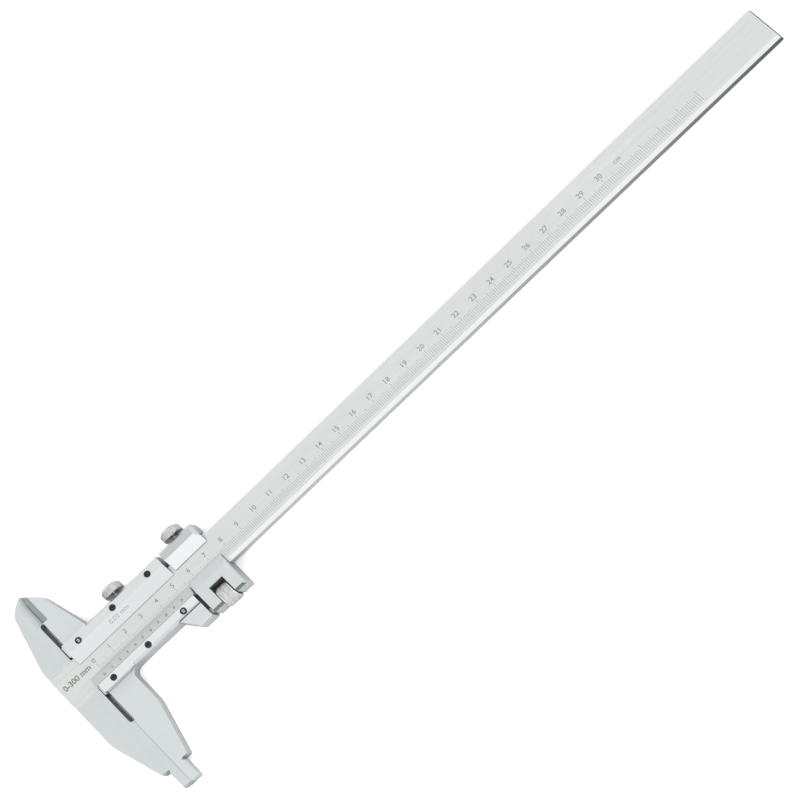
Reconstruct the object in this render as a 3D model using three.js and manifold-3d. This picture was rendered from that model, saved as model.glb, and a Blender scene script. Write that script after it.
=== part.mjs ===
// A 0-300 mm vernier caliper: one-piece beam with the fixed jaws, a slider with the moving jaws,
// and a fine-adjustment carriage driven by a knurled nut on a fixed feed screw.
//
// Frame, in millimetres: x = 0 is the plane where the closed jaws meet, +X runs along the beam to its
// free end; y = 0 is the middle of the scale, +Y is the knife jaws' side; z = 0 is the back, where the
// jaws and the slider lie flush, +Z points out of the scale face.
import * as THREE from "three";
import { mergeVertices } from "three/addons/utils/BufferGeometryUtils.js";
import Module from "manifold-3d";

const wasm = await Module();
wasm.setup();

// ---------- driving dimensions ----------

const JAW_THICKNESS = 6.6;
const MID = JAW_THICKNESS / 2;
const SLIDING_FIT = 0.1;
const PIECE_GAP = 0.1;
const CLOSED_GAP = 0.02;
const OVERCUT = 1;

const BEAM = {
  tail: 393.1, // end of the beam from the closed jaws
  back: 1.5,
  face: 7.2,
  lockEdge: 8.0,
  scaleEdge: -10.6,
  lockBevel: { width: 0.9, depth: 0.4 },
  scaleBevel: { width: 1.9, depth: 0.9 },
};

const KNIFE = {
  slotTop: 30.7, // the measuring edge starts here
  apex: 49.6,
  bevelWidth: 3.7,
};

const NIB = {
  slotBottom: -33.9,
  shoulder: -62.3,
  tip: -73.2,
  halfWidth: 5.0,
  faceRadius: 8.0,
  undercut: { radius: 0.65, depth: 1.1 },
};

const SLIDER = {
  left: -1.1,
  right: 60.3,
  lockSide: 15.2,
  scaleSide: -15.7,
  backWall: 1.4,
  wallTop: 7.3,
  gibWall: 8.95,
  backChamfer: 1.5,
};

const STRIP = { top: 9.8, left: 0.2, chamfer: 1.4, lipHeight: 0.25 };
const LOCK_STRIP = { lip: 3.3, bevelTop: 10.0, chamferStart: 15.6 };
const SCALE_STRIP = { inner: -10.7, chamferStart: 19 };
const VERNIER = { left: -0.8, right: 61.2, lip: -5.6, bevelTop: -10.3, outer: -10.6, cornerRadius: 1.6 };

const COVER_SCREW = { x: [8.1, 30.0, 52.2], lockY: 11.6, scaleY: -13.2, headRadius: 1.55, headHeight: 1.5 };
const SCREW_SHANK = { radius: 1.0, end: 3.2 };
const HOLE_CLEARANCE = 0.09;
const SLOT = { width: 0.55, depth: 0.6 };

const GIB = { inner: 8.12, outer: 8.82, bottom: 1.65, top: 6.95 };
const SET_SCREW = { radius: 1.4, z: 4.6, inset: 0.35, slider: [25.4, 56.1], carriage: 65.9 };
const KNOB = { radius: 5.2, z: 5.25, stemRadius: 1.4, gap: 1.7, rim: 3.9, edge: 0.45, dome: 1.3 };
const KNOB_X = { slider: 34.5, carriage: 72.0 };

const CARRIAGE = {
  left: 62.2,
  right: 81.6,
  top: 10.4,
  lockSide: 15.2,
  scaleSide: -24.0,
  chamfer: 1.4,
  endChamfer: 1.5,
  boreEnd: 80.3, // the feed screw's hole stops inside the block
  lockLip: 4.0,
  lockBevelTop: 10.2,
  scaleLip: -4.8,
  scaleBevelTop: -10.4,
};
const WINDOW = { left: 67.9, right: 75.7, inner: -14.0 };

const FEED = { y: -20.75, z: 5.5, radius: 1.95, start: 52.5, end: 79.2 };
const LUG = { rampStart: 46.6, rampEnd: 52.4, outer: -23.8, top: 9.2, chamfer: 0.5 };
const NUT = { radius: 5.35, left: 68.1, right: 75.3, chamfer: 0.5 };

const ROUND = 36; // segments of a full turn on the knobs and the nut
const FINE_ROUND = 28; // segments of a full turn on screws and holes

// ---------- solids: conversion, joining and cutting ----------

function toSolid(geometry) {
  const bare = geometry.index ? geometry.toNonIndexed() : geometry.clone();
  for (const name of Object.keys(bare.attributes)) {
    if (name !== "position") bare.deleteAttribute(name);
  }
  const merged = mergeVertices(bare, 1e-4);
  const mesh = new wasm.Mesh({
    numProp: 3,
    vertProperties: new Float32Array(merged.attributes.position.array),
    triVerts: new Uint32Array(merged.index.array),
  });
  return new wasm.Manifold(mesh);
}

function toGeometry(solid) {
  const mesh = solid.getMesh();
  const geometry = new THREE.BufferGeometry();
  geometry.setAttribute("position", new THREE.BufferAttribute(new Float32Array(mesh.vertProperties), 3));
  geometry.setIndex(new THREE.BufferAttribute(new Uint32Array(mesh.triVerts), 1));
  geometry.computeVertexNormals();
  return geometry;
}

const join = (first, ...others) => others.reduce((sum, solid) => sum.add(solid), first);
const cut = (first, ...others) => others.reduce((rest, solid) => rest.subtract(solid), first);

// ---------- primitive shapes in the caliper's frame ----------

function extrude(shape, length, curveSegments = 6) {
  return new THREE.ExtrudeGeometry(shape, { depth: length, bevelEnabled: false, curveSegments });
}

function shapeOf(points) {
  return new THREE.Shape(points.map(([a, b]) => new THREE.Vector2(a, b)));
}

// A plan outline (x, y) raised from z0 to z1.
function plate(shape, z0, z1) {
  return toSolid(extrude(shape, z1 - z0).translate(0, 0, z0));
}

// A section (y, z) drawn out along X from x0 to x1.
function railAlongX(points, x0, x1) {
  const turned = new THREE.Matrix4().makeBasis(
    new THREE.Vector3(0, 1, 0),
    new THREE.Vector3(0, 0, 1),
    new THREE.Vector3(1, 0, 0),
  );
  return toSolid(extrude(shapeOf(points), x1 - x0).applyMatrix4(turned).translate(x0, 0, 0));
}

// A section (x, z) drawn out along Y from y0 to y1.
function railAlongY(shape, y0, y1, curveSegments = 6) {
  return toSolid(extrude(shape, y1 - y0, curveSegments).rotateX(Math.PI / 2).translate(0, y1, 0));
}

function box(x0, x1, y0, y1, z0, z1) {
  const geometry = new THREE.BoxGeometry(x1 - x0, y1 - y0, z1 - z0);
  return toSolid(geometry.translate((x0 + x1) / 2, (y0 + y1) / 2, (z0 + z1) / 2));
}

function rodAlongX(radius, x0, x1, y, z) {
  const geometry = new THREE.CylinderGeometry(radius, radius, x1 - x0, FINE_ROUND);
  return toSolid(geometry.rotateZ(Math.PI / 2).translate((x0 + x1) / 2, y, z));
}

function rodAlongY(radius, y0, y1, x, z) {
  const geometry = new THREE.CylinderGeometry(radius, radius, y1 - y0, FINE_ROUND);
  return toSolid(geometry.translate(x, (y0 + y1) / 2, z));
}

function rodAlongZ(radius, z0, z1, x, y) {
  const geometry = new THREE.CylinderGeometry(radius, radius, z1 - z0, FINE_ROUND);
  return toSolid(geometry.rotateX(Math.PI / 2).translate(x, y, (z0 + z1) / 2));
}

// A turned piece: profile points are (radius, distance along the axis), the axis runs along +Y.
function turned(profile) {
  return new THREE.LatheGeometry(profile.map(([r, h]) => new THREE.Vector2(r, h)), ROUND);
}

// The cut that bevels a straight top edge from one plan point to another, at height top. The solid is on
// the left of the way from the first point to the second.
function edgeChamfer([x0, y0], [x1, y1], top, width) {
  const along = new THREE.Vector3(x1 - x0, y1 - y0, 0);
  const length = along.length() + 2 * OVERCUT;
  along.normalize();
  const up = new THREE.Vector3(0, 0, 1);
  const outward = new THREE.Vector3().crossVectors(along, up);
  const reach = width + OVERCUT;
  const section = shapeOf([[OVERCUT, -reach], [OVERCUT, OVERCUT], [-reach, OVERCUT]]);
  const placed = new THREE.Matrix4().makeBasis(outward, up, along.clone().negate());
  placed.setPosition(x1 + along.x * OVERCUT, y1 + along.y * OVERCUT, top);
  return toSolid(extrude(section, length).applyMatrix4(placed));
}

// ---------- jaws ----------

// The two bevels that bring a knife jaw to its edge in the middle of the thickness.
// side is +1 for the slider's jaw (x > 0) and -1 for the fixed one.
function knifeBevels(side, edgeX) {
  const slope = MID / KNIFE.bevelWidth;
  const inX = (distance) => edgeX + side * distance;
  const front = [
    [inX(-OVERCUT), MID - slope * OVERCUT],
    [inX(KNIFE.bevelWidth + OVERCUT), MID + slope * (KNIFE.bevelWidth + OVERCUT)],
    [inX(-OVERCUT), JAW_THICKNESS + 2],
  ];
  const back = front.map(([x, z]) => [x, JAW_THICKNESS - z]);
  return [front, back].map((points) => railAlongY(shapeOf(points), KNIFE.slotTop, KNIFE.apex + OVERCUT));
}

// The narrow end of a nib jaw: flat on the measuring side, round on the outside.
function nib(side, edgeX) {
  const shape = new THREE.Shape();
  const centre = edgeX + side * (NIB.halfWidth - NIB.faceRadius);
  const half = Math.asin(MID / NIB.faceRadius);
  shape.moveTo(edgeX, 0);
  shape.lineTo(centre + side * NIB.faceRadius * Math.cos(half), 0);
  if (side > 0) {
    shape.absarc(centre, MID, NIB.faceRadius, -half, half, false);
  } else {
    shape.absarc(centre, MID, NIB.faceRadius, Math.PI + half, Math.PI - half, true);
  }
  shape.lineTo(edgeX, JAW_THICKNESS);
  return railAlongY(shape, NIB.tip, NIB.shoulder + OVERCUT, 14);
}

// The relief between a pair of jaws ends in a small round: a quarter turn from the relief to the edge.
function reliefCorner(shape, edgeX, reliefX, endY, outward) {
  const run = reliefX - edgeX;
  shape.lineTo(reliefX, endY - outward * Math.abs(run));
  shape.quadraticCurveTo(reliefX, endY, edgeX, endY);
}

function fixedJawOutline() {
  const relief = -1.7;
  const heel = -15.8;
  const shape = new THREE.Shape();
  shape.moveTo(relief, 0);
  reliefCorner(shape, 0, relief, KNIFE.slotTop, 1);
  shape.lineTo(0, KNIFE.apex);
  shape.lineTo(-4.3, 45.4);
  shape.quadraticCurveTo(-7.4, 43.2, -8.2, 40.4);
  shape.lineTo(-15.3, 14.8);
  shape.quadraticCurveTo(heel, 13.0, heel, 11.0);
  shape.lineTo(heel, -32.5);
  shape.quadraticCurveTo(heel, -36.0, -15.0, -39.0);
  shape.lineTo(-8.1, NIB.shoulder);
  shape.lineTo(0, NIB.shoulder);
  shape.lineTo(0, NIB.slotBottom);
  shape.quadraticCurveTo(relief, NIB.slotBottom, relief, NIB.slotBottom + 1.7);
  return shape;
}

function sliderKnifeOutline() {
  const relief = 0.8;
  const shape = new THREE.Shape();
  shape.moveTo(relief, 12);
  reliefCorner(shape, CLOSED_GAP, relief, KNIFE.slotTop, 1);
  shape.lineTo(CLOSED_GAP, KNIFE.apex);
  shape.lineTo(7.6, 41.8);
  shape.quadraticCurveTo(8.7, 40.8, 9.1, 39.4);
  shape.lineTo(14.9, SLIDER.lockSide + 1);
  shape.lineTo(15.2, 12);
  return shape;
}

function sliderNibOutline() {
  const relief = 0.8;
  const width = 15.0;
  const fillet = 4.0;
  const shape = new THREE.Shape();
  shape.moveTo(relief, -13);
  shape.lineTo(relief, NIB.slotBottom + 0.8);
  shape.quadraticCurveTo(relief, NIB.slotBottom, CLOSED_GAP, NIB.slotBottom);
  shape.lineTo(CLOSED_GAP, NIB.shoulder);
  shape.lineTo(7.1, NIB.shoulder);
  shape.quadraticCurveTo(7.8, NIB.shoulder, 8.0, NIB.shoulder + 1.2);
  shape.lineTo(width - 0.9, -38.0);
  shape.quadraticCurveTo(width, -34.5, width, -31.0);
  shape.lineTo(width, SLIDER.scaleSide - fillet);
  shape.absarc(width + fillet, SLIDER.scaleSide - fillet, fillet, Math.PI, Math.PI / 2, true);
  shape.lineTo(width + fillet, -13);
  return shape;
}

// A round-ended undercut where a nib meets its shoulder; side is +1 for the slider's nib.
function nibUndercut(side) {
  const { radius, depth } = NIB.undercut;
  const centre = side * (NIB.halfWidth - depth + radius);
  const outer = side * (NIB.halfWidth + OVERCUT);
  const y = NIB.shoulder - radius;
  const [z0, z1] = [-OVERCUT, JAW_THICKNESS + OVERCUT];
  return join(
    rodAlongZ(radius, z0, z1, centre, y),
    box(Math.min(centre, outer), Math.max(centre, outer), y - radius, y + radius, z0, z1),
  );
}

// ---------- the beam ----------

function beamSection() {
  const { back, face, lockEdge, scaleEdge, lockBevel, scaleBevel } = BEAM;
  return [
    [lockEdge, back],
    [lockEdge, face - lockBevel.depth],
    [lockEdge - lockBevel.width, face],
    [scaleEdge + scaleBevel.width, face],
    [scaleEdge, face - scaleBevel.depth],
    [scaleEdge, back],
  ];
}

function beamWithFixedJaw() {
  const jaw = cut(plate(fixedJawOutline(), 0, JAW_THICKNESS), ...knifeBevels(-1, 0));
  const nibJaw = cut(join(jaw, nib(-1, 0)), nibUndercut(-1));
  return join(nibJaw, railAlongX(beamSection(), -15.8, BEAM.tail));
}

// ---------- the slider ----------

function beamChannel(x0, x1, top) {
  return box(x0, x1, BEAM.scaleEdge - SLIDING_FIT, SLIDER.gibWall, SLIDER.backWall, top);
}

function lug() {
  const outline = [
    [LUG.rampStart, SLIDER.scaleSide + 2],
    [LUG.rampStart, SLIDER.scaleSide],
    [LUG.rampEnd, LUG.outer],
    [SLIDER.right, LUG.outer],
    [SLIDER.right, SLIDER.scaleSide + 2],
  ];
  const raised = [
    [LUG.rampStart + 0.1, SLIDER.scaleSide - PIECE_GAP],
    [LUG.rampEnd, LUG.outer],
    [SLIDER.right, LUG.outer],
    [SLIDER.right, SLIDER.scaleSide - PIECE_GAP],
  ];
  const corner = [LUG.rampEnd, LUG.outer];
  return cut(
    join(
      plate(shapeOf(outline), 0, SLIDER.wallTop),
      plate(shapeOf(raised), SLIDER.wallTop - OVERCUT, LUG.top),
    ),
    edgeChamfer([LUG.rampStart, SLIDER.scaleSide], corner, LUG.top, LUG.chamfer),
    edgeChamfer(corner, [SLIDER.right, LUG.outer], LUG.top, LUG.chamfer),
  );
}

function coverScrewPlaces() {
  const rows = [COVER_SCREW.scaleY, COVER_SCREW.lockY];
  return rows.flatMap((y) => COVER_SCREW.x.map((x) => ({ x, y })));
}

function shankHole(x, y, top) {
  return rodAlongZ(SCREW_SHANK.radius + HOLE_CLEARANCE, SCREW_SHANK.end - HOLE_CLEARANCE, top, x, y);
}

function sliderBody() {
  const { left, right, lockSide, scaleSide, wallTop, backChamfer } = SLIDER;
  const section = [
    [lockSide, backChamfer],
    [lockSide, wallTop],
    [scaleSide, wallTop],
    [scaleSide, 0],
    [lockSide - backChamfer, 0],
  ];
  const frame = railAlongX(section, left, right);
  const knife = cut(plate(sliderKnifeOutline(), 0, JAW_THICKNESS), ...knifeBevels(1, CLOSED_GAP));
  const nibJaw = cut(join(plate(sliderNibOutline(), 0, JAW_THICKNESS), nib(1, CLOSED_GAP)), nibUndercut(1));
  const solid = join(frame, knife, nibJaw, lug());
  const shankHoles = coverScrewPlaces().map(({ x, y }) => shankHole(x, y, wallTop + OVERCUT));
  const setScrewHoles = SET_SCREW.slider.map((x) => setScrewHole(x));
  return cut(
    solid,
    beamChannel(left - OVERCUT, right + OVERCUT, wallTop + OVERCUT),
    ...shankHoles,
    ...setScrewHoles,
    stemHole(KNOB_X.slider),
    rodAlongX(FEED.radius + HOLE_CLEARANCE, FEED.start - HOLE_CLEARANCE, right + OVERCUT, FEED.y, FEED.z),
  );
}

function coverScrewHoles(row) {
  const { headRadius, headHeight } = COVER_SCREW;
  const seat = STRIP.top - headHeight - HOLE_CLEARANCE;
  return COVER_SCREW.x.flatMap((x) => [
    shankHole(x, row, STRIP.top + OVERCUT),
    rodAlongZ(headRadius + HOLE_CLEARANCE, seat, STRIP.top + OVERCUT, x, row),
  ]);
}

function lockCoverStrip() {
  const base = SLIDER.wallTop;
  const section = [
    [SLIDER.lockSide, base],
    [SLIDER.lockSide, STRIP.top],
    [LOCK_STRIP.bevelTop, STRIP.top],
    [LOCK_STRIP.lip, base + STRIP.lipHeight],
    [LOCK_STRIP.lip, base],
  ];
  const start = LOCK_STRIP.chamferStart + OVERCUT;
  return cut(
    railAlongX(section, STRIP.left, SLIDER.right),
    edgeChamfer([SLIDER.right, SLIDER.lockSide], [start, SLIDER.lockSide], STRIP.top, STRIP.chamfer),
    ...coverScrewHoles(COVER_SCREW.lockY),
  );
}

function scaleCoverStrip() {
  const section = [
    [SCALE_STRIP.inner, SLIDER.wallTop],
    [SCALE_STRIP.inner, STRIP.top],
    [SLIDER.scaleSide, STRIP.top],
    [SLIDER.scaleSide, SLIDER.wallTop],
  ];
  const start = SCALE_STRIP.chamferStart + OVERCUT;
  return cut(
    railAlongX(section, STRIP.left, SLIDER.right),
    edgeChamfer([start, SLIDER.scaleSide], [SLIDER.right, SLIDER.scaleSide], STRIP.top, STRIP.chamfer),
    ...coverScrewHoles(COVER_SCREW.scaleY),
  );
}

function vernierPlate() {
  const base = SLIDER.wallTop + 0.02;
  const section = [
    [VERNIER.lip, base],
    [VERNIER.lip, base + STRIP.lipHeight],
    [VERNIER.bevelTop, STRIP.top],
    [VERNIER.outer, STRIP.top],
    [VERNIER.outer, base],
  ];
  const r = VERNIER.cornerRadius;
  const corner = new THREE.Shape();
  corner.moveTo(VERNIER.right + OVERCUT, VERNIER.lip - r);
  corner.lineTo(VERNIER.right + OVERCUT, VERNIER.lip + OVERCUT);
  corner.lineTo(VERNIER.right - r, VERNIER.lip + OVERCUT);
  corner.lineTo(VERNIER.right - r, VERNIER.lip);
  corner.absarc(VERNIER.right - r, VERNIER.lip - r, r, Math.PI / 2, 0, true);
  return cut(
    railAlongX(section, VERNIER.left, VERNIER.right),
    plate(corner, SLIDER.wallTop - OVERCUT, STRIP.top + OVERCUT),
  );
}

// ---------- screws, gibs and knobs ----------

function coverScrew() {
  const { headRadius, headHeight } = COVER_SCREW;
  const reach = headRadius + OVERCUT;
  return cut(
    join(
      rodAlongZ(headRadius, -headHeight, 0, 0, 0),
      rodAlongZ(SCREW_SHANK.radius, SCREW_SHANK.end - STRIP.top, -headHeight / 2, 0, 0),
    ),
    box(-reach, reach, -SLOT.width / 2, SLOT.width / 2, -SLOT.depth, OVERCUT),
  );
}

// A hole through the wall on the lock side, from the gib to the outer face.
function lockWallHole(radius, x, z) {
  return rodAlongY(radius + HOLE_CLEARANCE, SLIDER.gibWall - OVERCUT, SLIDER.lockSide + OVERCUT, x, z);
}

const setScrewHole = (x) => lockWallHole(SET_SCREW.radius, x, SET_SCREW.z);
const stemHole = (x) => lockWallHole(KNOB.stemRadius, x, KNOB.z);

function setScrew() {
  const end = SLIDER.lockSide - SET_SCREW.inset;
  const { radius } = SET_SCREW;
  const half = SLOT.width / 2;
  return cut(
    rodAlongY(radius, SLIDER.gibWall, end, 0, 0),
    box(-radius - OVERCUT, radius + OVERCUT, end - SLOT.depth, end + OVERCUT, -half, half),
  );
}

function gib(x0, x1) {
  return box(x0, x1, GIB.inner, GIB.outer, GIB.bottom, GIB.top);
}

// A lock screw with a domed knob; the origin is on its axis at the level of the side face it bears over.
function lockScrew() {
  const { radius, stemRadius, gap, rim, edge, dome } = KNOB;
  const tip = SLIDER.gibWall - SLIDER.lockSide;
  const profile = [
    [0, tip],
    [stemRadius, tip],
    [stemRadius, gap],
    [radius - edge, gap],
    [radius, gap + edge],
    [radius, gap + rim - edge],
    [radius - edge, gap + rim],
  ];
  const crown = radius - edge;
  const steps = 5;
  for (let i = 1; i <= steps; i += 1) {
    const angle = (i / steps) * (Math.PI / 2);
    profile.push([crown * Math.cos(angle), gap + rim + dome * Math.sin(angle)]);
  }
  profile[profile.length - 1][0] = 0;
  return turned(profile);
}

// ---------- the fine-adjustment carriage ----------

function carriageBody() {
  const { left, right, top, lockSide, scaleSide, chamfer } = CARRIAGE;
  const block = [
    [lockSide, SLIDER.backChamfer],
    [lockSide, top - chamfer],
    [lockSide - chamfer, top],
    [scaleSide + chamfer, top],
    [scaleSide, top - chamfer],
    [scaleSide, 0],
    [lockSide - SLIDER.backChamfer, 0],
  ];
  const throat = [
    [CARRIAGE.lockLip, SLIDER.wallTop - OVERCUT],
    [CARRIAGE.lockLip, SLIDER.wallTop + STRIP.lipHeight],
    [CARRIAGE.lockBevelTop, top],
    [CARRIAGE.lockBevelTop, top + OVERCUT],
    [CARRIAGE.scaleBevelTop, top + OVERCUT],
    [CARRIAGE.scaleBevelTop, top],
    [CARRIAGE.scaleLip, SLIDER.wallTop + STRIP.lipHeight],
    [CARRIAGE.scaleLip, SLIDER.wallTop - OVERCUT],
  ];
  return cut(
    railAlongX(block, left, right),
    beamChannel(left - OVERCUT, right + OVERCUT, SLIDER.wallTop),
    railAlongX(throat, left - OVERCUT, right + OVERCUT),
    edgeChamfer([right, scaleSide], [right, lockSide], top, CARRIAGE.endChamfer),
    box(WINDOW.left, WINDOW.right, scaleSide - OVERCUT, WINDOW.inner, -OVERCUT, top + OVERCUT),
    rodAlongX(FEED.radius + 0.2, left - OVERCUT, CARRIAGE.boreEnd, FEED.y, FEED.z),
    setScrewHole(SET_SCREW.carriage),
    stemHole(KNOB_X.carriage),
  );
}

// The origin is on the nut's axis in the middle of its length.
function fineAdjustNut() {
  const { radius, left, right, chamfer } = NUT;
  const half = (right - left) / 2;
  const bore = FEED.radius + HOLE_CLEARANCE;
  const profile = [
    [bore, -half],
    [radius - chamfer, -half],
    [radius, -half + chamfer],
    [radius, half - chamfer],
    [radius - chamfer, half],
    [bore, half],
    [bore, -half],
  ];
  return turned(profile).rotateZ(-Math.PI / 2);
}

function feedScrew() {
  return rodAlongX(FEED.radius, FEED.start, FEED.end, FEED.y, FEED.z);
}

// ---------- materials and assembly ----------

const FINISH = {
  beam: { color: 0xc9c8c4, roughness: 0.48, metalness: 0.85 },
  body: { color: 0xb4b9bd, roughness: 0.4, metalness: 0.9 },
  strip: { color: 0xc4cad0, roughness: 0.36, metalness: 0.85 },
  vernier: { color: 0xdedfdf, roughness: 0.6, metalness: 0.5 },
  black: { color: 0x1d1d1f, roughness: 0.45, metalness: 0.8 },
  chrome: { color: 0xd8dadc, roughness: 0.16, metalness: 1.0 },
};

const caliper = new THREE.Group();

function addPiece(name, shape, finish, place = [0, 0, 0]) {
  const geometry = shape.isBufferGeometry ? shape : toGeometry(shape);
  const mesh = new THREE.Mesh(geometry, new THREE.MeshStandardMaterial(finish));
  mesh.name = name;
  mesh.position.set(...place);
  caliper.add(mesh);
}

addPiece("beam_with_fixed_jaw", beamWithFixedJaw(), FINISH.beam);

addPiece("slider_body", sliderBody(), FINISH.body);
addPiece("lock_side_cover_strip", lockCoverStrip(), FINISH.strip);
addPiece("scale_side_cover_strip", scaleCoverStrip(), FINISH.strip);
addPiece("vernier_plate", vernierPlate(), FINISH.vernier);
addPiece("slider_gib", gib(SLIDER.left + 1.6, SLIDER.right - 1), FINISH.body);
coverScrewPlaces().forEach(({ x, y }, index) => {
  addPiece(`cover_screw_${index + 1}`, coverScrew(), FINISH.black, [x, y, STRIP.top]);
});
SET_SCREW.slider.forEach((x, index) => {
  addPiece(`gib_set_screw_${index + 1}`, setScrew(), FINISH.black, [x, 0, SET_SCREW.z]);
});
addPiece("slider_lock_screw", lockScrew(), FINISH.chrome, [KNOB_X.slider, SLIDER.lockSide, KNOB.z]);
addPiece("feed_screw", feedScrew(), FINISH.chrome);

addPiece("carriage_body", carriageBody(), FINISH.body);
addPiece("carriage_gib", gib(CARRIAGE.left + 0.8, CARRIAGE.right - 0.8), FINISH.body);
addPiece("carriage_set_screw", setScrew(), FINISH.black, [SET_SCREW.carriage, 0, SET_SCREW.z]);
addPiece("carriage_lock_screw", lockScrew(), FINISH.chrome, [KNOB_X.carriage, SLIDER.lockSide, KNOB.z]);
addPiece("fine_adjust_nut", fineAdjustNut(), FINISH.chrome, [(NUT.left + NUT.right) / 2, FEED.y, FEED.z]);

export default caliper;
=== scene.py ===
"""Looks of a 0-300 mm vernier caliper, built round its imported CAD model. Lengths are in metres."""

import math

import bmesh
import bpy
from mathutils import Matrix, Vector


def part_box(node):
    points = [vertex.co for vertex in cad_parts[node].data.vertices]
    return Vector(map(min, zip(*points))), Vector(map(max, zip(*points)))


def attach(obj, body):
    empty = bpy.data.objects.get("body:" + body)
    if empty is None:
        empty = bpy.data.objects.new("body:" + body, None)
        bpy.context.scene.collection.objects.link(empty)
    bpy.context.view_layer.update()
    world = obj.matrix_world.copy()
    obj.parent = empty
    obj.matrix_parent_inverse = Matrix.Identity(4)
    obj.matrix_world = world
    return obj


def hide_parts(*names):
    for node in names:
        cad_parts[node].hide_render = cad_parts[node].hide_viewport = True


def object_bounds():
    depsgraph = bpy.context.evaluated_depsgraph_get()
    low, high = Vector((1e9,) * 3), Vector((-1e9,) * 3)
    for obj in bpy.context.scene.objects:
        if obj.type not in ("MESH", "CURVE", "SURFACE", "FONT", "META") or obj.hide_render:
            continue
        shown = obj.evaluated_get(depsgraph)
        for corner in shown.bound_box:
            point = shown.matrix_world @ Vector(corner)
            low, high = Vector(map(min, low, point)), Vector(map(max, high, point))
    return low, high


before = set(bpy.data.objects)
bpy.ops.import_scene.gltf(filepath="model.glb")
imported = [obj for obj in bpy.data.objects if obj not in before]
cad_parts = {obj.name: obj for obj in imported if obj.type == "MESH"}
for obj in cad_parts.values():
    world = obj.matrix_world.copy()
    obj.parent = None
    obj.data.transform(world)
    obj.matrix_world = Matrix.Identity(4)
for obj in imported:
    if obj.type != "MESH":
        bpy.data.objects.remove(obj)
cad_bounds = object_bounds()

MM = 0.001

# ---------- driving values ----------

# The camera stands far off and looks past the caliper, with its view shifted back onto it.
CAMERA_PLACE = Vector((0.5195, -0.6437, 1.9483))
CAMERA_FORWARD = Vector((-0.517, 0.49534, -0.69811))
CAMERA_UP = Vector((0.68147, 0.7317, 0.0145))
CAMERA_LENS = 183.2
CAMERA_SHIFT = (2.540, 0.570)

ZERO_X = 6.0 * MM  # the main scale's zero, from the plane where the jaws meet
DIVISION = 1.0 * MM
DIVISIONS = 350
TICK_START = -7.25 * MM
TICK_LENGTH = {10: 5.5 * MM, 5: 4.6 * MM, 1: 3.8 * MM}
TICK_WIDTH = 0.13 * MM
LAST_FIGURE = 30
FIGURE_SIZE = 3.3 * MM
UNIT_SIZE = 3.0 * MM
BAND_MIDDLE = -1.3 * MM  # of the lengthwise-ground band between the fixed jaws
BAND_HALF = 9.9 * MM

VERNIER_DIVISIONS = 50
VERNIER_SPAN = 49 * MM
VERNIER_TICK = {5: 2.1 * MM, 1: 1.5 * MM}
VERNIER_TICK_GAP = 0.06 * MM  # between the plate's lip and its lines
VERNIER_TICK_WIDTH = 0.11 * MM
VERNIER_FIGURE_SIZE = 2.3 * MM
VERNIER_FIGURE_ROW = 3.25 * MM  # from the plate's lip to the middle of its figures

LIP_HEIGHT = 0.25 * MM  # of a sloping face's lower edge, above the underside of its strip or plate
VERNIER_SLOPE_END = -10.3 * MM
STRIP_SLOPE_END = 10.0 * MM
RANGE_MARK_SIZE = 4.0 * MM
RANGE_MARK_PLACE = (-5.3 * MM, -0.6 * MM)
READING_MARK_SIZE = 3.3 * MM
READING_MARK_PLACE = (30.0 * MM, 7.3 * MM)

INK_LIFT = 0.004 * MM
INK_DEPTH = 0.012 * MM
TEXT_WELD = 0.001 * MM
EDGE_ROUND = 0.14 * MM
THIN_EDGE_ROUND = 0.06 * MM
SCREW_EDGE_ROUND = 0.05 * MM
SLIVER = 0.08 * MM  # shorter edges of a CAD node are merged before its corners are rounded
FLAT_ANGLE = math.radians(0.5)
SHARP_ANGLE = math.radians(28)

STEM_RADIUS = 1.4 * MM
STEM_PITCH = 0.5 * MM
KNOB_GAP = 1.7 * MM  # bare stem between the side face and the knob
KNOB_DOME = 1.3 * MM
CROWN_INSET = 0.62 * MM  # the polished crown's edge, inside the knurled rim
KNURL_PITCH = 0.74 * MM
KNURL_DEPTH = 0.17 * MM
FEED_PITCH = 0.7 * MM
NUT_BORE = 2.03 * MM
NUT_RIM = 0.85 * MM  # the width of the plain rim at each end of the nut

# Screws whose centres carry a painted glare.
GLARE_SCREWS = ["cover_screw_3", "cover_screw_4"]

# Studio panels that only reflections see: the way to each, its reach in degrees, and what it adds.
STUDIO_LEVEL = 0.90
STUDIO_PANELS = [
    ((0.0, 0.0, 1.0), 60, 0.10),
    ((-0.3, -0.55, 0.78), 40, 0.50),
    ((-1.0, 0.3, 0.15), 55, -0.62),
    ((0.7, 0.4, 0.6), 35, 0.26),
    ((-0.5, 0.85, 0.05), 35, 0.22),
    ((0.5, 1.0, -0.1), 30, -0.50),
]
SOFTBOX_MIDDLE = (0.15, 0.0, 0.0)
SOFTBOX_RING = 1.8
SOFTBOX_HEIGHT = 0.9
SOFTBOX_SIZE = 1.1
SOFTBOX_POWER = 26.0
FLOOR_REFLECTED = 0.50
FLOOR_DARK_END = (0.20, 0.40)  # along x, where the reflected floor falls off to black


# ---------- pieces ----------

def mesh_from(name, verts, faces):
    """A mesh from lists of points and of the points round each face."""
    mesh = bpy.data.meshes.new(name)
    mesh.from_pydata(verts, [], faces)
    mesh.validate()
    mesh.update()
    return mesh


def new_piece(name, mesh, body, material):
    """A piece that rides on a body and takes the material it is given."""
    piece = bpy.data.objects.new(name, mesh)
    bpy.context.scene.collection.objects.link(piece)
    mesh.materials.clear()
    mesh.materials.append(material)
    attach(piece, body)
    return piece


def smooth_by_angle(piece, degrees):
    piece.data.shade_smooth()
    piece.data.set_sharp_from_angle(angle=math.radians(degrees))


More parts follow.
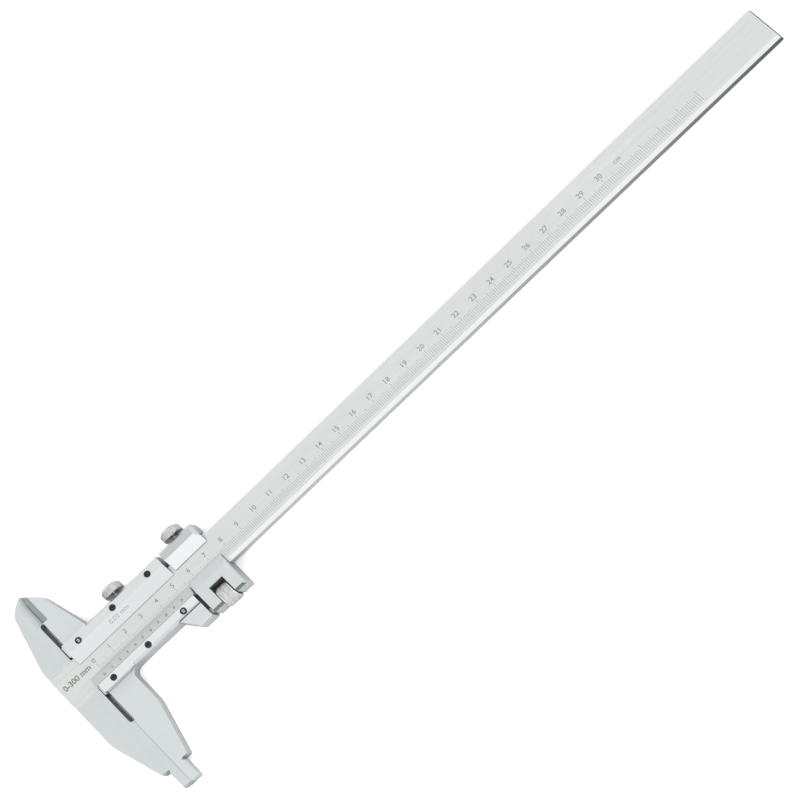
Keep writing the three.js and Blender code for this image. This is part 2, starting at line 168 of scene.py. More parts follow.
def soften_edges(node, width):
    """Rounds a CAD node's sharp edges with modifiers, so the metal catches light along them.

    The node's triangles are first joined at their corners and merged into flat faces.
    """
    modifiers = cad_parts[node].modifiers
    weld = modifiers.new("weld", "WELD")
    weld.merge_threshold = SLIVER
    flat = modifiers.new("flat_faces", "DECIMATE")
    flat.decimate_type = "DISSOLVE"
    flat.angle_limit = FLAT_ANGLE
    bevel = modifiers.new("edge_round", "BEVEL")
    bevel.width = width
    bevel.segments = 2
    bevel.limit_method = "ANGLE"
    bevel.angle_limit = SHARP_ANGLE
    bevel.use_clamp_overlap = False
    bevel.harden_normals = True


# ---------- node materials ----------

def grey(value, tint=(1.0, 1.0, 1.0)):
    """An opaque colour: a grey level, multiplied by a tint."""
    return tuple(value * part for part in tint) + (1.0,)


class Nodes:
    """A short way to build one material's node tree."""

    def __init__(self, name):
        self.material = bpy.data.materials.new(name)
        self.material.use_nodes = True
        self.tree = self.material.node_tree
        self.tree.nodes.clear()
        self.shader = self.add("ShaderNodeBsdfPrincipled")
        output = self.add("ShaderNodeOutputMaterial")
        self.join(self.shader.outputs["BSDF"], output.inputs["Surface"])
        self.place = self.add("ShaderNodeTexCoord")

    def add(self, kind, **values):
        node = self.tree.nodes.new(kind)
        for key, value in values.items():
            setattr(node, key, value)
        return node

    def join(self, source, target):
        self.tree.links.new(source, target)

    def put(self, socket, value):
        """Links a node's output to a socket, or sets the socket to a plain value."""
        if isinstance(value, bpy.types.NodeSocket):
            self.join(value, socket)
        else:
            socket.default_value = value

    def noise(self, scale, stretch=(1, 1, 1), detail=4.0, roughness=0.6):
        """Noise over the piece's own coordinates; stretch multiplies each axis."""
        mapping = self.add("ShaderNodeMapping")
        mapping.inputs["Scale"].default_value = stretch
        noise = self.add("ShaderNodeTexNoise")
        noise.inputs["Scale"].default_value = scale
        noise.inputs["Detail"].default_value = detail
        noise.inputs["Roughness"].default_value = roughness
        self.join(self.place.outputs["Object"], mapping.inputs["Vector"])
        self.join(mapping.outputs["Vector"], noise.inputs["Vector"])
        return noise.outputs["Fac"]

    def remap(self, value, low, high, new_low, new_high):
        node = self.add("ShaderNodeMapRange")
        node.inputs["From Min"].default_value = low
        node.inputs["From Max"].default_value = high
        node.inputs["To Min"].default_value = new_low
        node.inputs["To Max"].default_value = new_high
        self.join(value, node.inputs["Value"])
        return node.outputs["Result"]

    def math(self, operation, first, second):
        node = self.add("ShaderNodeMath", operation=operation)
        self.put(node.inputs[0], first)
        self.put(node.inputs[1], second)
        return node.outputs["Value"]

    def part(self, source, axis):
        """One coordinate of the piece's own place (Object) or of its surface normal (Normal)."""
        node = self.add("ShaderNodeSeparateXYZ")
        self.join(self.place.outputs[source], node.inputs["Vector"])
        return node.outputs[axis]

    def mix(self, factor, first, second, blend="MIX"):
        node = self.add("ShaderNodeMix", data_type="RGBA", blend_type=blend)
        self.put(node.inputs["Factor"], factor)
        colours = [socket for socket in node.inputs if socket.type == "RGBA"]
        self.put(colours[0], first)
        self.put(colours[1], second)
        return next(socket for socket in node.outputs if socket.type == "RGBA")

    def shade(self, colour, mask, factor):
        """Multiplies a colour by a factor where a mask is 1."""
        return self.mix(mask, colour, grey(factor), "MULTIPLY")

    def edges(self, radius):
        """A mask for painted highlights: 1 along edges and 0 on open faces."""
        bevel = self.add("ShaderNodeBevel", samples=4)
        bevel.inputs["Radius"].default_value = radius
        geometry = self.add("ShaderNodeNewGeometry")
        dot = self.add("ShaderNodeVectorMath", operation="DOT_PRODUCT")
        self.join(bevel.outputs["Normal"], dot.inputs[0])
        self.join(geometry.outputs["Normal"], dot.inputs[1])
        return self.remap(dot.outputs["Value"], 0.995, 0.93, 0.0, 1.0)

    def crevices(self):
        """A mask for painted shade: 1 in narrow gaps and inside corners, 0 on open faces."""
        occlusion = self.add("ShaderNodeAmbientOcclusion", samples=6)
        occlusion.inputs["Distance"].default_value = 1.3 * MM
        return self.remap(occlusion.outputs["AO"], 0.80, 0.35, 0.0, 1.0)

    def upright(self):
        """A mask: 1 on faces that stand upright, 0 on sloping and flat ones."""
        level = self.math("ABSOLUTE", self.part("Normal", "Z"), 0.0)
        return self.remap(level, 0.35, 0.15, 0.0, 1.0)

    def bump(self, height, strength, distance):
        node = self.add("ShaderNodeBump")
        node.inputs["Strength"].default_value = strength
        node.inputs["Distance"].default_value = distance
        self.join(height, node.inputs["Height"])
        self.join(node.outputs["Normal"], self.shader.inputs["Normal"])

    def finish(self, colour, roughness, metallic):
        self.put(self.shader.inputs["Base Color"], colour)
        self.put(self.shader.inputs["Roughness"], roughness)
        self.shader.inputs["Metallic"].default_value = metallic
        return self.material


GRAIN_ALONG = {"X": (18, 900, 900), "Y": (900, 18, 900)}


def grinding_lines(nodes, axis):
    """Fine lines and broader streaks left by grinding along one axis, as one value round 0.5."""
    fine = nodes.noise(4.0, GRAIN_ALONG[axis], detail=6.0, roughness=0.7)
    broad = nodes.noise(4.0, tuple(part * 0.16 for part in GRAIN_ALONG[axis]), detail=3.0)
    weighted = nodes.math("MULTIPLY", fine, 0.65)
    return nodes.math("ADD", weighted, nodes.math("MULTIPLY", broad, 0.35))


def steel_tone(nodes, lines, level, tint, contrast):
    """The colour of ground steel: lines, faint clouds, painted shade on upright faces and in
    crevices, and painted highlights along edges.

    Faces on the knob side carry streaks across the beam and are painted darker, as shade.
    """
    tone = nodes.mix(
        nodes.remap(lines, 0.3, 0.7, 0.0, 1.0),
        grey(level * (1 - 0.09 * contrast), tint),
        grey(level * (1 + 0.06 * contrast), tint),
    )
    cloud = nodes.noise(34.0, detail=2.0)
    tone = nodes.mix(nodes.remap(cloud, 0.35, 0.65, 0.0, 0.35), tone, grey(level * 0.93, tint))
    # Painted shade on upright faces.
    tone = nodes.shade(tone, nodes.upright(), 0.96)
    # Painted shade on the knob side, broken by streaks of grain across the beam.
    knob_side = nodes.remap(nodes.part("Normal", "Y"), 0.86, 0.96, 0.0, 1.0)
    streaks = nodes.noise(4.0, (160, 160, 18), detail=5.0)
    side_streaks_and_shade = nodes.remap(streaks, 0.35, 0.65, 0.45, 0.85)
    tone = nodes.mix(knob_side, tone, nodes.mix(side_streaks_and_shade, grey(0.0), tone))
    # Painted shade in gaps and inside corners.
    tone = nodes.shade(tone, nodes.crevices(), 0.40)
    # Painted highlight along edges.
    return nodes.mix(nodes.edges(0.16 * MM), tone, grey(level * 1.12))


def ground_steel(nodes, tone, lines, roughness, strength):
    """Finishes a steel: its lines also show as bump and as changes in roughness."""
    nodes.bump(lines, strength, 0.02 * MM)
    rough = nodes.remap(lines, 0.3, 0.7, roughness - 0.07, roughness + 0.08)
    return nodes.finish(tone, rough, 0.94)


def beam_steel():
    """Warm-grey steel, ground lengthwise on the beam and cross-ways on the fixed jaws."""
    nodes = Nodes("beam_steel")
    aside = nodes.math("SUBTRACT", nodes.part("Object", "Y"), BAND_MIDDLE)
    aside = nodes.math("ABSOLUTE", aside, 0.0)
    on_jaw = nodes.remap(aside, BAND_HALF - 0.3 * MM, BAND_HALF + 0.3 * MM, 0.0, 1.0)
    satin = nodes.remap(grinding_lines(nodes, "Y"), 0.0, 1.0, 0.28, 0.72)
    lines = nodes.mix(on_jaw, grinding_lines(nodes, "X"), satin)
    tone = steel_tone(nodes, lines, 0.73, (0.975, 1.0, 0.99), 1.5)
    jaw_tone = nodes.mix(on_jaw, grey(1.0), grey(0.95, (0.97, 1.0, 1.02)))
    tone = nodes.mix(1.0, tone, jaw_tone, "MULTIPLY")
    # Painted highlight: the lock-side bevel is lighter past the fixed jaw.
    lock_bevel_highlight = nodes.remap(nodes.part("Normal", "Y"), 0.28, 0.36, 0.0, 1.0)
    sloping = nodes.remap(nodes.part("Normal", "Z"), 0.6, 0.7, 0.0, 1.0)
    past_jaw = nodes.remap(nodes.part("Object", "X"), 0.0, 0.4 * MM, 0.0, 1.0)
    lock_bevel_highlight = nodes.math("MULTIPLY", nodes.math("MULTIPLY", lock_bevel_highlight, sloping), past_jaw)
    tone = nodes.mix(lock_bevel_highlight, tone, grey(0.95))
    # Painted shade: the scale-side bevel is darker where it crosses the fixed jaw.
    scale_bevel_shade = nodes.remap(nodes.part("Normal", "Y"), -0.28, -0.36, 0.0, 1.0)
    at_jaw = nodes.math("SUBTRACT", 1.0, past_jaw)
    tone = nodes.shade(tone, nodes.math("MULTIPLY", scale_bevel_shade, at_jaw), 0.78)
    return ground_steel(nodes, tone, lines, 0.42, 0.22)


def body_steel():
    """The slider's steel, ground across the beam, with painted shade on its knife bevels."""
    nodes = Nodes("body_steel")
    lines = grinding_lines(nodes, "Y")
    tone = steel_tone(nodes, lines, 0.72, (0.95, 0.995, 1.01), 0.6)
    # Painted shade on the knife bevels.
    knife_bevel_shade = nodes.remap(nodes.part("Normal", "X"), -0.5, -0.62, 0.0, 1.0)
    tone = nodes.shade(tone, knife_bevel_shade, 0.74)
    return ground_steel(nodes, tone, lines, 0.38, 0.2)


def strip_steel():
    """The cover strips' brighter steel, with painted shade on the inner slope and on the lock side.
    """
    nodes = Nodes("strip_steel")
    lines = grinding_lines(nodes, "X")
    tone = steel_tone(nodes, lines, 0.81, (0.965, 0.995, 1.005), 0.7)
    # Painted shade on the sloping inner face.
    inner_slope_shade = nodes.remap(nodes.part("Normal", "Y"), -0.22, -0.30, 0.0, 1.0)
    tone = nodes.shade(tone, inner_slope_shade, 0.84)
    # Painted shade over the lock side.
    lock_side_shade = nodes.remap(nodes.part("Object", "Y"), 0.0, 1.0 * MM, 0.0, 1.0)
    tone = nodes.shade(tone, lock_side_shade, 0.91)
    return ground_steel(nodes, tone, lines, 0.36, 0.15)


def carriage_steel():
    """As the slider's steel, with darker chamfers and painted shade on the level land beside the
    lock knob.
    """
    nodes = Nodes("carriage_steel")
    lines = grinding_lines(nodes, "X")
    tone = steel_tone(nodes, lines, 0.70, (0.955, 0.995, 1.0), 0.8)
    outward = nodes.math("MULTIPLY", nodes.part("Normal", "Y"), -1.0)
    slope = nodes.math("MULTIPLY", outward, nodes.part("Normal", "Z"))
    chamfer = nodes.remap(slope, 0.40, 0.48, 0.0, 1.0)
    tone = nodes.shade(tone, chamfer, 0.30)
    # Painted shade on the level land of the lock side.
    lock_side_shade = nodes.remap(nodes.part("Object", "Y"), 9.9 * MM, 10.3 * MM, 0.0, 1.0)
    level_face = nodes.remap(nodes.part("Normal", "Z"), 0.90, 0.97, 0.0, 1.0)
    tone = nodes.shade(tone, nodes.math("MULTIPLY", lock_side_shade, level_face), 0.82)
    return ground_steel(nodes, tone, lines, 0.38, 0.18)


def pearl_chrome():
    """The vernier plate's matt pearl surface: pale grey, darkened by painted shade, and finely
    pitted.
    """
    nodes = Nodes("vernier_pearl")
    pits = nodes.noise(9000.0, detail=2.0)
    cloud = nodes.noise(60.0, detail=3.0)
    # Its grey is darkened as painted shade.
    tone = nodes.mix(
        nodes.remap(cloud, 0.35, 0.65, 0.0, 1.0),
        grey(0.40, (0.98, 1.0, 1.0)),
        grey(0.44, (0.985, 1.0, 1.0)),
    )
    nodes.bump(pits, 0.15, 0.01 * MM)
    return nodes.finish(tone, nodes.remap(pits, 0.3, 0.7, 0.5, 0.66), 0.5)


def black_oxide(name, edge_highlight_level, glare_centre=None):
    """Blackened steel. The second argument is how bright its painted edge highlight is, and the
    third, if given, puts a painted glare on its centre.
    """
    nodes = Nodes(name)
    cloud = nodes.noise(1500.0, detail=3.0)
    patches = nodes.remap(cloud, 0.35, 0.65, 0.0, 1.0)
    tone = nodes.mix(patches, grey(0.02), grey(0.045, (0.95, 0.98, 1.0)))
    # Painted highlight along edges.
    tone = nodes.mix(nodes.edges(0.08 * MM), tone, grey(edge_highlight_level))
    # Painted glare on the centre, where given.
    if glare_centre is not None:
        away = nodes.add("ShaderNodeVectorMath", operation="DISTANCE")
        nodes.join(nodes.place.outputs["Object"], away.inputs[0])
        away.inputs[1].default_value = glare_centre
        glare_spot = nodes.remap(away.outputs["Value"], 0.95 * MM, 0.55 * MM, 0.0, 1.0)
        tone = nodes.mix(glare_spot, tone, grey(0.55))
    return nodes.finish(tone, nodes.remap(cloud, 0.3, 0.7, 0.28, 0.45), 0.7)


def bright_nickel():
    """Polished plating of knobs, nut and screws, a little cloudy, with painted highlights along its
    edges and painted shade in its crevices.
    """
    nodes = Nodes("bright_nickel")
    cloud = nodes.noise(500.0, detail=3.0)
    fine = nodes.noise(6000.0, detail=2.0)
    tone = nodes.mix(
        nodes.remap(cloud, 0.35, 0.65, 0.0, 1.0),
        grey(0.62, (1.0, 0.99, 0.97)),
        grey(0.74, (1.0, 0.995, 0.98)),
    )
    # Painted highlight along edges.
    tone = nodes.mix(nodes.edges(0.06 * MM), tone, grey(0.82))
    # Painted shade in crevices, such as under the knob's rim.
    tone = nodes.shade(tone, nodes.crevices(), 0.68)
    return nodes.finish(tone, nodes.remap(fine, 0.3, 0.7, 0.15, 0.28), 1.0)


def ink(name, level, tint=(1.0, 1.0, 1.0)):
    """Etched and blackened marks, uneven as etching is."""
    nodes = Nodes(name)
    cloud = nodes.noise(3000.0, detail=2.0)
    patches = nodes.remap(cloud, 0.35, 0.65, 0.0, 1.0)
    tone = nodes.mix(patches, grey(level * 0.7, tint), grey(level * 1.3, tint))
    return nodes.finish(tone, nodes.remap(cloud, 0.3, 0.7, 0.5, 0.7), 0.0)


SCALE_INK = ink("scale_ink", 0.17)
VERNIER_INK = ink("vernier_ink", 0.10)
MARK_INK = ink("mark_ink", 0.13, (1.0, 0.98, 0.84))
FAINT_INK = ink("faint_ink", 0.27, (1.0, 0.96, 0.95))
BLACK = black_oxide("black_oxide", 0.16)
NICKEL = bright_nickel()


def dress_cad_nodes():
    """Materials and softened edges for the CAD nodes that stay in the picture."""
    body = body_steel()
    strip = strip_steel()
    finishes = {
        "beam_with_fixed_jaw": (beam_steel(), EDGE_ROUND),
        "slider_body": (body, EDGE_ROUND),
        "carriage_body": (carriage_steel(), EDGE_ROUND),
        "lock_side_cover_strip": (strip, EDGE_ROUND),
        "scale_side_cover_strip": (strip, EDGE_ROUND),
        "vernier_plate": (pearl_chrome(), THIN_EDGE_ROUND),
        "slider_gib": (body, THIN_EDGE_ROUND),
        "carriage_gib": (body, THIN_EDGE_ROUND),
    }
    for screw in GLARE_SCREWS:
        low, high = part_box(screw)
        centre = ((low.x + high.x) / 2, (low.y + high.y) / 2, high.z)
        finishes[screw] = (black_oxide(screw + "_glare", 0.25, centre), SCREW_EDGE_ROUND)
    for node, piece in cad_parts.items():
        material, width = finishes.get(node, (BLACK, SCREW_EDGE_ROUND))
        piece.data.materials.clear()
        piece.data.materials.append(material)
        soften_edges(node, width)


# ---------- scales and figures ----------

def tick_mesh(name, ticks, width, height):
    """Thin raised bars on a face: each tick is (x, y of one end, y of the other).

    height gives the face's height at a value of y.
    """
    verts = []
    faces = []
    for x, y0, y1 in ticks:
        base = len(verts)
        for side in (-width / 2, width / 2):
            for y in (max(y0, y1), min(y0, y1)):
                z = height(y) + INK_LIFT
                verts.append((x + side, y, z))
                verts.append((x + side, y, z + INK_DEPTH))
        a, b, c, d, e, f, g, h = range(base, base + 8)
        faces += [(a, c, d, b), (e, f, h, g), (a, b, f, e)]
        faces += [(c, g, h, d), (b, d, h, f), (a, e, g, c)]
    return mesh_from(name, verts, faces)


def figure_mesh(text, size, centre, rotation, weight=0.0):
    """Generic lettering as a mesh, centred on a point of its face; weight thickens the strokes."""
    curve = bpy.data.curves.new("figure", "FONT")
    curve.body = text
    curve.size = size
    curve.align_x = "CENTER"
    curve.align_y = "CENTER"
    curve.resolution_u = 3
    curve.extrude = INK_DEPTH / 2
    curve.offset = weight
    holder = bpy.data.objects.new("figure", curve)
    bpy.context.scene.collection.objects.link(holder)
    mesh = bpy.data.meshes.new_from_object(holder)
    bpy.data.objects.remove(holder)
    bpy.data.curves.remove(curve)
    mesh.transform(Matrix.Translation(centre) @ rotation.to_4x4())
    return mesh


def joined(name, meshes):
    """One mesh of closed solids from several meshes of lettering, which come with open seams."""
    builder = bmesh.new()
    for mesh in meshes:
        builder.from_mesh(mesh)
        bpy.data.meshes.remove(mesh)
    bmesh.ops.remove_doubles(builder, verts=builder.verts, dist=TEXT_WELD)
    bmesh.ops.dissolve_degenerate(builder, dist=TEXT_WELD, edges=builder.edges)
    bmesh.ops.recalc_face_normals(builder, faces=builder.faces)
    whole = bpy.data.meshes.new(name)
    builder.to_mesh(whole)
    builder.free()
    return whole


def beam_face():
    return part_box("beam_with_fixed_jaw")[1].z


def main_scale():
    """The beam's millimetre graduations, and a figure for each centimetre."""
    face = beam_face()
    ticks = []
    for i in range(DIVISIONS + 1):
        step = next(size for size in TICK_LENGTH if i % size == 0)
        ticks.append((ZERO_X + i * DIVISION, TICK_START, TICK_START + TICK_LENGTH[step]))
    name = "main_scale_graduations"
    graduations = tick_mesh(name, ticks, TICK_WIDTH, lambda y: face)
    new_piece(name, graduations, "beam", SCALE_INK)

    height = face + INK_LIFT + INK_DEPTH / 2
    level = Matrix.Identity(3)
    meshes = []
    for i in range(LAST_FIGURE + 1):
        centre = Vector((ZERO_X + i * 10 * DIVISION, 0, height))
        meshes.append(figure_mesh(str(i), FIGURE_SIZE, centre, level, 0.04 * MM))
    unit = Vector((ZERO_X + (LAST_FIGURE + 1) * 10 * DIVISION, 0, height))
    meshes.append(figure_mesh("cm", UNIT_SIZE, unit, level, 0.02 * MM))
    name = "main_scale_figures"
    new_piece(name, joined(name, meshes), "beam", SCALE_INK)


def slope_between(node, inner_y, outer_y):
    """A strip's sloping inner face: its height as a function of y, and its tilt about X."""
    low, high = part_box(node)
    lip = low.z + LIP_HEIGHT
    rise = (high.z - lip) / (outer_y - inner_y)

    def height(y):
        return lip + rise * (y - inner_y)

    return height, Matrix.Rotation(math.atan(rise), 3, "X")


def vernier_scale():
    """The vernier's 50 divisions on 49 mm, and its figures, on the sloping plate."""
    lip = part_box("vernier_plate")[1].y
    height, tilt = slope_between("vernier_plate", lip, VERNIER_SLOPE_END)
    ticks = []
    for i in range(VERNIER_DIVISIONS + 1):
        x = ZERO_X + i * VERNIER_SPAN / VERNIER_DIVISIONS
        step = next(size for size in VERNIER_TICK if i % size == 0)
        ticks.append((x, lip - VERNIER_TICK_GAP, lip - VERNIER_TICK[step]))
    name = "vernier_graduations"
    graduations = tick_mesh(name, ticks, VERNIER_TICK_WIDTH, height)
    new_piece(name, graduations, "slider", VERNIER_INK)

    y = lip - VERNIER_FIGURE_ROW
    normal = tilt @ Vector((0, 0, 1))
    meshes = []
    for i in range(11):
        x = ZERO_X + i * VERNIER_SPAN / 10
        centre = Vector((x, y, height(y))) + normal * (INK_LIFT + INK_DEPTH / 2)
        meshes.append(figure_mesh(str(i % 10), VERNIER_FIGURE_SIZE, centre, tilt, 0.05 * MM))
    name = "vernier_figures"
    new_piece(name, joined(name, meshes), "slider", VERNIER_INK)


def range_mark():
    """The measuring range, 0-300 mm, on the beam's end between the jaws."""
    name = "measuring_range_mark"
    x, y = RANGE_MARK_PLACE
    centre = Vector((x, y, beam_face() + INK_LIFT + INK_DEPTH / 2))
    mesh = figure_mesh("0-300 mm", RANGE_MARK_SIZE, centre, Matrix.Identity(3), 0.10 * MM)
    new_piece(name, joined(name, [mesh]), "beam", MARK_INK)


def reading_mark():
    """The reading step, 0.02 mm, on the lock-side strip's sloping face."""
    name = "reading_step_mark"
    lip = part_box("lock_side_cover_strip")[0].y
    height, tilt = slope_between("lock_side_cover_strip", lip, STRIP_SLOPE_END)
    x, y = READING_MARK_PLACE
    centre = Vector((x, y, height(y))) + tilt @ Vector((0, 0, INK_LIFT + INK_DEPTH / 2))
    mesh = figure_mesh("0.02 mm", READING_MARK_SIZE, centre, tilt, 0.06 * MM)
    new_piece(name, joined(name, [mesh]), "slider", FAINT_INK)


# ---------- turned, knurled and threaded pieces ----------

def ring_mesh(name, rings, segments, radius_at, turn, centre, closed_loop):
    """A turned body from rings of (distance along the axis, radius).

    radius_at gives the surface's radius at a distance and an angle. With closed_loop the body is a
    tube whose last ring joins its first. Without it, its ends close on the axis.
    """
    verts = []
    for distance, radius in rings:
        for k in range(segments):
            angle = 2 * math.pi * k / segments
            r = radius_at(distance, radius, angle)
            verts.append(Vector((r * math.cos(angle), r * math.sin(angle), distance)))
    count = len(rings)
    faces = []
    for i in range(count if closed_loop else count - 1):
        for k in range(segments):
            step = (k + 1) % segments
            above = ((i + 1) % count) * segments
            faces.append((i * segments + k, i * segments + step, above + step, above + k))
    if not closed_loop:
        for ring, order in ((0, -1), (count - 1, 1)):
            tip = len(verts)
            verts.append(Vector((0, 0, rings[ring][0])))
            for k in range(segments):
                pair = (ring * segments + k, ring * segments + (k + 1) % segments)
                faces.append((tip,) + pair[::order])
    return mesh_from(name, [tuple(turn @ v + centre) for v in verts], faces)


def knurl(start, end, circumference):
    """The radius of a diamond knurl between two distances: two sets of crossing grooves."""
    teeth = round(circumference / KNURL_PITCH)

    def radius_at(distance, radius, angle):
        if not start < distance < end:
            return radius
        turns = angle * teeth / (2 * math.pi)
        climb = (distance - start) / KNURL_PITCH
        right = abs((turns + climb) % 1.0 - 0.5) * 2
        left = abs((turns - climb) % 1.0 - 0.5) * 2
        return radius - 2 * KNURL_DEPTH * max(0.5 - right, 0.5 - left, 0)

    return radius_at, teeth * 6


def spread(start, end, radius, count):
    """Evenly spaced rings of one radius."""
    return [(start + (end - start) * i / count, radius) for i in range(count + 1)]


def knob_rings(under, start, end, top, radius):
    """A lock knob's outline, from its underside to the tip of its crown, as rings for ring_mesh."""
    rings = [
        (under, STEM_RADIUS * 0.8),
        (under, radius - 0.45 * MM),
        (under + 0.3 * MM, radius - 0.1 * MM),
    ]
    rings += spread(start, end, radius, 24)
    rings += [
        (top - 0.5 * MM, radius - 0.08 * MM),
        (top - 0.2 * MM, radius - 0.3 * MM),
        (top - 0.15 * MM, radius - 0.5 * MM),
        (top, radius - CROWN_INSET),
    ]
    crown = radius - CROWN_INSET
    steps = 14
    for i in range(1, steps):
        angle = i / steps * math.pi / 2
        rings.append((top + KNOB_DOME * math.sin(angle), crown * math.cos(angle)))
    rings.append((top + KNOB_DOME, 0.01 * MM))
    return rings


def lock_knob(node, name, body):
    """A lock knob (knurled rim, small step, domed polished crown) and its threaded stem."""
    low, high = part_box(node)
    radius = (high.x - low.x) / 2
    top = high.y - KNOB_DOME
    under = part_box("carriage_body")[1].y + KNOB_GAP
    start = under + 0.4 * MM
    end = top - 0.65 * MM
    rings = knob_rings(under, start, end, top, radius)
    radius_at, segments = knurl(start, end, 2 * math.pi * radius)
    turn = Matrix.Rotation(-math.pi / 2, 3, "X")
    centre = Vector(((low.x + high.x) / 2, 0, (low.z + high.z) / 2))
    mesh = ring_mesh(name, rings, segments, radius_at, turn, centre, False)
    knob = new_piece(name, mesh, body, NICKEL)
    smooth_by_angle(knob, 32)
    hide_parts(node)

    stem_name = name.replace("knob", "stem")
    stem_start = Vector((centre.x, low.y, centre.z))
    length = under - low.y + 0.2 * MM
    thread = thread_mesh(stem_name, STEM_RADIUS, STEM_PITCH, length, turn, stem_start)
    stem = new_piece(stem_name, thread, body, NICKEL)
    smooth_by_angle(stem, 40)


def fine_adjust_nut():
    """The fine-adjustment nut: diamond knurl between two plain rims, bored for the feed screw."""
    name = "fine_adjust_nut_knurled"
    low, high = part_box("fine_adjust_nut")
    radius = (high.z - low.z) / 2
    half = (high.x - low.x) / 2
    rim = radius - 0.1 * MM
    edge = radius - 0.5 * MM
    end = half - NUT_RIM
    left = [(-half, NUT_BORE), (-half, edge), (-half + 0.3 * MM, rim), (-end - 0.1 * MM, rim)]
    right = [(-distance, size) for distance, size in reversed(left)]
    rings = left + spread(-end, end, radius, 32) + right
    radius_at, segments = knurl(-end, end, 2 * math.pi * radius)
    turn = Matrix.Rotation(math.pi / 2, 3, "Y")
    mesh = ring_mesh(name, rings, segments, radius_at, turn, (low + high) / 2, True)
    nut = new_piece(name, mesh, "nut", NICKEL)
    smooth_by_angle(nut, 32)
    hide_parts("fine_adjust_nut")


def thread_mesh(name, radius, pitch, length, turn, start):
    """A screw thread as one closed helical skin, from start along the turned axis.

    Each row of points climbs by one pitch in going round, so its end meets the row one turn on.
    """
    segments = 28
    root = radius - 0.54 * pitch
    profile = [(0.0, root), (0.43, radius), (0.60, radius), (0.95, root)]
    rows_per_turn = len(profile)
    turns = int(length / pitch) - 1
    verts = []
    for i in range(turns):
        for along, r in profile:
            for k in range(segments):
                angle = 2 * math.pi * k / segments
                distance = pitch * (i + along + k / segments)
                verts.append(Vector((r * math.cos(angle), r * math.sin(angle), distance)))
    rows = turns * rows_per_turn
    faces = []
    for i in range(rows - 1):
        a = i * segments
        for k in range(segments - 1):
            faces.append((a + k, a + k + 1, a + k + 1 + segments, a + k + segments))
        if i + 1 + rows_per_turn < rows:
            b = (i + rows_per_turn) * segments
            faces.append((a + segments - 1, b, b + segments, a + 2 * segments - 1))
    first = list(range(segments)) + [j * segments for j in range(rows_per_turn, 0, -1)]
    last_row = (rows - 1) * segments
    last = [last_row + k for k in range(segments)]
    last += [last_row - j * segments + segments - 1 for j in range(1, rows_per_turn + 1)]
    faces += [tuple(reversed(first)), tuple(last)]
    return mesh_from(name, [tuple(turn @ v + start) for v in verts], faces)


def feed_screw():
    """The threaded stud that the nut runs on."""
    name = "feed_screw_threaded"
    low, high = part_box("feed_screw")
    radius = (high.z - low.z) / 2
    start = Vector((low.x, (low.y + high.y) / 2, (low.z + high.z) / 2))
    turn = Matrix.Rotation(math.pi / 2, 3, "Y")
    mesh = thread_mesh(name, radius, FEED_PITCH, high.x - low.x, turn, start)
    screw = new_piece(name, mesh, "slider", NICKEL)
    smooth_by_angle(screw, 40)
    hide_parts("feed_screw")


# ---------- stage ----------

def floor():
    """A plain white table top. Reflections see it dimmer, and dark beside the beam's free end."""
    builder = bmesh.new()
    bmesh.ops.create_grid(builder, x_segments=2, y_segments=2, size=6.0)
    mesh = bpy.data.meshes.new("floor")
    builder.to_mesh(mesh)
    builder.free()
    piece = bpy.data.objects.new("floor", mesh)
    piece.location = (0, 0, cad_bounds[0][2] - 0.2 * MM)
    bpy.context.scene.collection.objects.link(piece)
    nodes = Nodes("floor_white")
    start, end = FLOOR_DARK_END
    dimmer = nodes.remap(nodes.part("Object", "X"), start, end, FLOOR_REFLECTED, 0.03)
    seen = nodes.add("ShaderNodeLightPath").outputs["Is Camera Ray"]
    mesh.materials.append(nodes.finish(nodes.mix(seen, dimmer, grey(1.0)), 0.9, 0.0))
    nodes.shader.inputs["Specular IOR Level"].default_value = 0.0


def studio_world():
    """White surroundings; reflections see soft brighter and darker panels in them."""
    world = bpy.data.worlds.new("studio")
    bpy.context.scene.world = world
    world.use_nodes = True
    tree = world.node_tree
    tree.nodes.clear()
    place = tree.nodes.new("ShaderNodeTexCoord")
    base = tree.nodes.new("ShaderNodeValue")
    base.outputs["Value"].default_value = STUDIO_LEVEL
    level = base.outputs["Value"]
    for direction, reach, gain in STUDIO_PANELS:
        dot = tree.nodes.new("ShaderNodeVectorMath")
        dot.operation = "DOT_PRODUCT"
        dot.inputs[1].default_value = Vector(direction).normalized()
        tree.links.new(place.outputs["Generated"], dot.inputs[0])
        patch = tree.nodes.new("ShaderNodeMapRange")
        patch.interpolation_type = "SMOOTHSTEP"
        patch.inputs["From Min"].default_value = math.cos(math.radians(reach))
        patch.inputs["To Max"].default_value = gain
        tree.links.new(dot.outputs["Value"], patch.inputs["Value"])
        total = tree.nodes.new("ShaderNodeMath")
        tree.links.new(patch.outputs["Result"], total.inputs[0])
        tree.links.new(level, total.inputs[1])
        level = total.outputs["Value"]
    panels = tree.nodes.new("ShaderNodeBackground")
    panels.inputs["Color"].default_value = grey(1.0)
    tree.links.new(level, panels.inputs["Strength"])
    plain = tree.nodes.new("ShaderNodeBackground")
    plain.inputs["Color"].default_value = grey(1.0)
    seen = tree.nodes.new("ShaderNodeLightPath")
    choice = tree.nodes.new("ShaderNodeMixShader")
    output = tree.nodes.new("ShaderNodeOutputWorld")
    tree.links.new(seen.outputs["Is Camera Ray"], choice.inputs["Fac"])
    tree.links.new(panels.outputs["Background"], choice.inputs[1])
    tree.links.new(plain.outputs["Background"], choice.inputs[2])
    tree.links.new(choice.outputs["Shader"], output.inputs["Surface"])


def softbox(name, place):
    """A square lamp aimed at the middle of the caliper."""
    light = bpy.data.lights.new(name, "AREA")
    light.shape = "SQUARE"
    light.size = SOFTBOX_SIZE
    light.energy = SOFTBOX_POWER
    lamp = bpy.data.objects.new(name, light)
    lamp.location = place
    direction = Vector(SOFTBOX_MIDDLE) - place
    lamp.rotation_euler = direction.to_track_quat("-Z", "Y").to_euler()
    lamp.visible_glossy = False  # reflections see the studio panels instead
    bpy.context.scene.collection.objects.link(lamp)


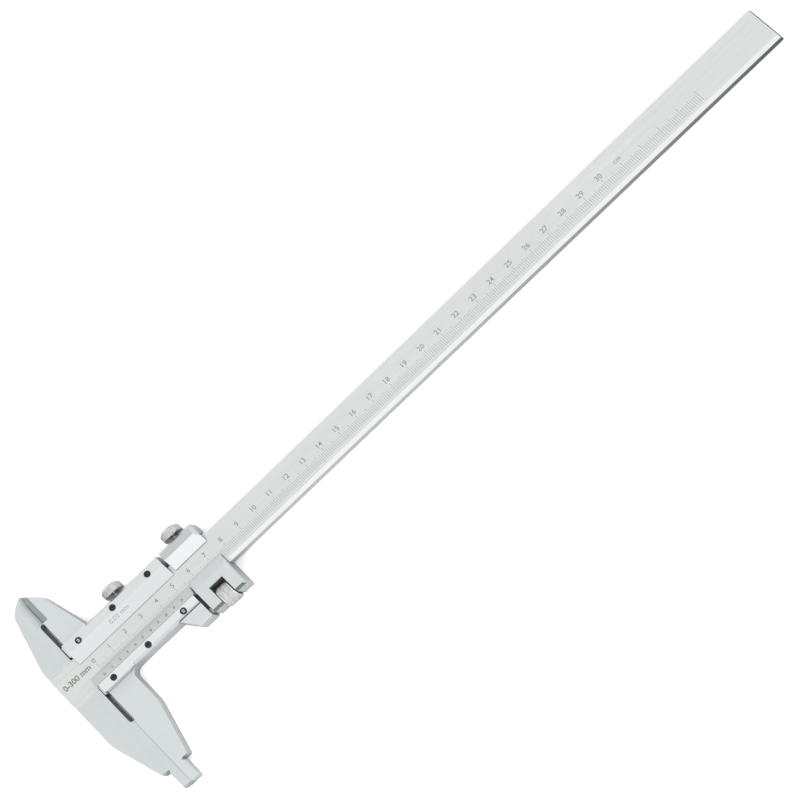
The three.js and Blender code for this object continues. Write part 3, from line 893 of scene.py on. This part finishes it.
def studio():
    """The surroundings, and four softboxes in a ring above the table."""
    studio_world()
    for i in range(4):
        angle = math.radians(45 + 90 * i)
        around = Vector((math.cos(angle), math.sin(angle), 0)) * SOFTBOX_RING
        place = Vector(SOFTBOX_MIDDLE) + around + Vector((0, 0, SOFTBOX_HEIGHT))
        softbox("softbox_%d" % (i + 1), place)
    bpy.context.scene.view_settings.view_transform = "Standard"


def shift_at_home(data, holder, path, value):
    """Shifts the lens while the camera stands at its own place; elsewhere there is no shift.

    A driver reads the camera's y, and its curve gives the shift within 20 mm of the camera's place.
    """
    curve = data.driver_add(path)
    curve.driver.type = "SUM"
    home = curve.driver.variables.new()
    home.type = "TRANSFORMS"
    home.targets[0].id = holder
    home.targets[0].transform_type = "LOC_Y"
    for modifier in list(curve.modifiers):
        curve.modifiers.remove(modifier)
    while curve.keyframe_points:
        curve.keyframe_points.remove(curve.keyframe_points[0])
    for offset, shift in ((-0.04, 0.0), (-0.02, value), (0.02, value), (0.04, 0.0)):
        point = curve.keyframe_points.insert(CAMERA_PLACE.y + offset, shift)
        point.interpolation = "LINEAR"
    curve.extrapolation = "CONSTANT"


def camera():
    """The camera, on its own place and aim, with its shifted lens."""
    data = bpy.data.cameras.new("camera")
    data.sensor_width = 36.0
    data.lens = CAMERA_LENS
    data.clip_end = 50.0
    holder = bpy.data.objects.new("camera", data)
    forward = CAMERA_FORWARD.normalized()
    right = forward.cross(CAMERA_UP).normalized()
    up = right.cross(forward)
    turn = Matrix((right, up, -forward)).transposed().to_4x4()
    holder.matrix_world = Matrix.Translation(CAMERA_PLACE) @ turn
    shift_at_home(data, holder, "shift_x", CAMERA_SHIFT[0])
    shift_at_home(data, holder, "shift_y", CAMERA_SHIFT[1])
    bpy.context.scene.collection.objects.link(holder)
    bpy.context.scene.camera = holder


dress_cad_nodes()
main_scale()
vernier_scale()
range_mark()
reading_mark()
lock_knob("slider_lock_screw", "slider_lock_knob", "slider_lock")
lock_knob("carriage_lock_screw", "carriage_lock_knob", "carriage_lock")
fine_adjust_nut()
feed_screw()
floor()
studio()
camera()
